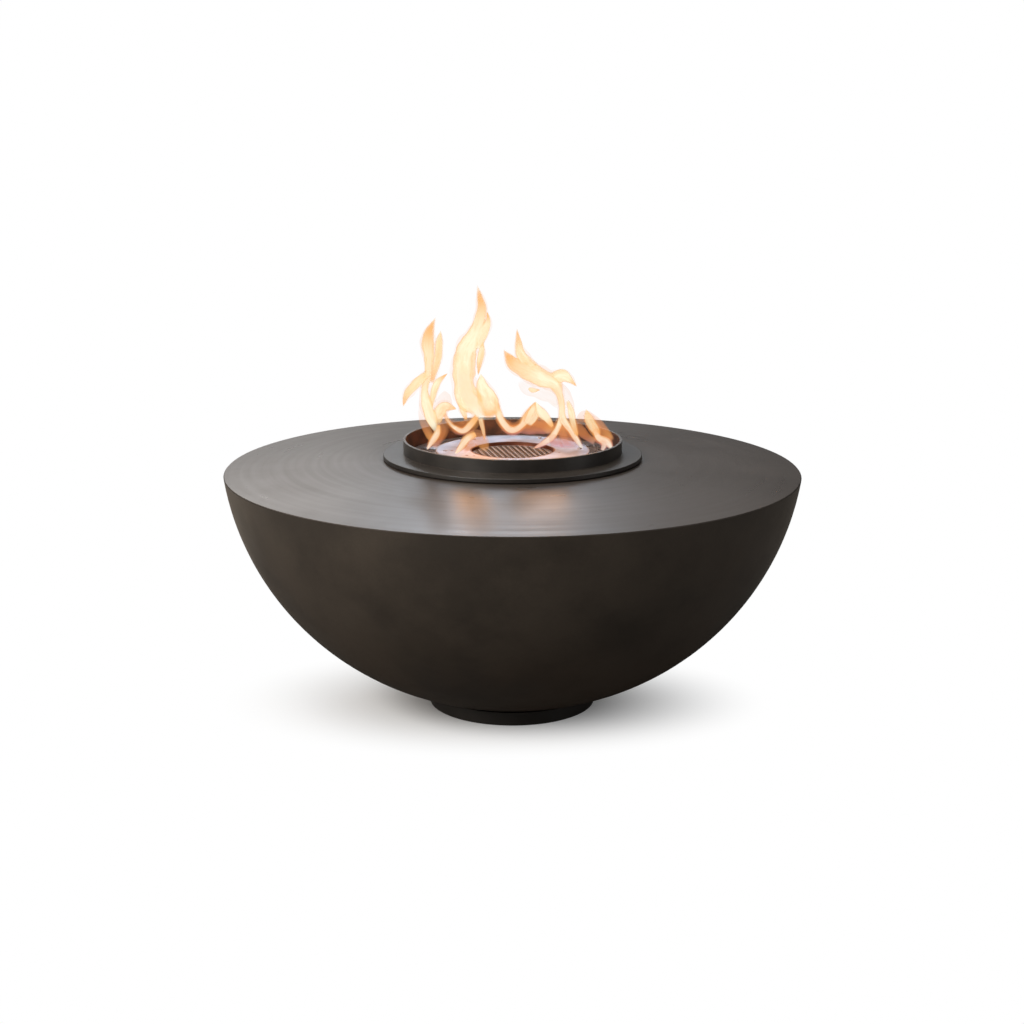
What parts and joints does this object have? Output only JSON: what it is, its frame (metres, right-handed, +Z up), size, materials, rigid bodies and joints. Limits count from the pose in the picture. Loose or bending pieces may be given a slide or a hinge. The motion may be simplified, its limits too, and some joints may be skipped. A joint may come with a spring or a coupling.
{
  "type": "bioethanol fireplace",
  "caption": "Round outdoor fire bowl: near-hemispherical cast bowl on a small foot, shallow domed top slab and a drop-in round ethanol ring burner with collar.",
  "frame": {"origin": "on the floor under the centre of the foot", "axes": "+Z up along the bowl's axis, -Y towards the front of the picture's view"},
  "size_m": [0.9996, 0.9994, 0.478],
  "materials": {
    "concrete_bowl": "honed fibre concrete, dark umber grey, sealed",
    "concrete_top": "honed fibre concrete, umber grey, satin sealed",
    "foot_black": "matt black-brown",
    "burner_black": "heat-proof matt black",
    "stainless": "heat-dulled stainless",
    "mesh_steel": "heat-tinted stainless wire",
    "rusty_screw": "rust-tinted steel",
    "zinc": "zinc plated",
    "aluminium": "spun",
    "wool": "ceramic fibre wool",
    "board": "pressed mineral board",
    "gasket": "graphite-filled fibre",
    "rubber": "black"
  },
  "bodies": {
    "bowl": {"bowl_shell": "concrete_bowl", "top_slab": "concrete_top", "rim_brackets": "zinc", "bracket_bolts": "zinc", "foot_plinth": "foot_black", "foot_pad_ring": "rubber", "bowl_inserts": "zinc", "foot_washers": "zinc", "foot_bolts": "zinc", "vent_sleeve": "stainless"},
    "burner": {"flange_gasket": "gasket", "burner_surround": "burner_black", "burner_pan": "stainless", "heat_shield": "aluminium", "insulation_board": "board", "air_tube": "stainless", "side_screws": "zinc", "fuel_reservoir": "stainless", "wool_ring": "wool"},
    "burner_head": {"window_plate": "stainless", "mesh_ring": "mesh_steel", "baffle_disc": "stainless", "disc_posts": "stainless", "disc_screws": "rusty_screw"},
    "grate": {"grate_frame": "stainless", "grate_mesh": "mesh_steel"}
  },
  "joints": [
    {"name": "burner_lift", "type": "slide", "parent": "bowl", "child": "burner", "axis": [0, 0, 1], "range_m": [0, 0.12]},
    {"name": "head_lift", "type": "slide", "parent": "burner", "child": "burner_head", "axis": [0, 0, 1], "range_m": [0, 0.05]},
    {"name": "grate_lift", "type": "slide", "parent": "burner_head", "child": "grate", "axis": [0, 0, 1], "range_m": [0, 0.03]}
  ]
}
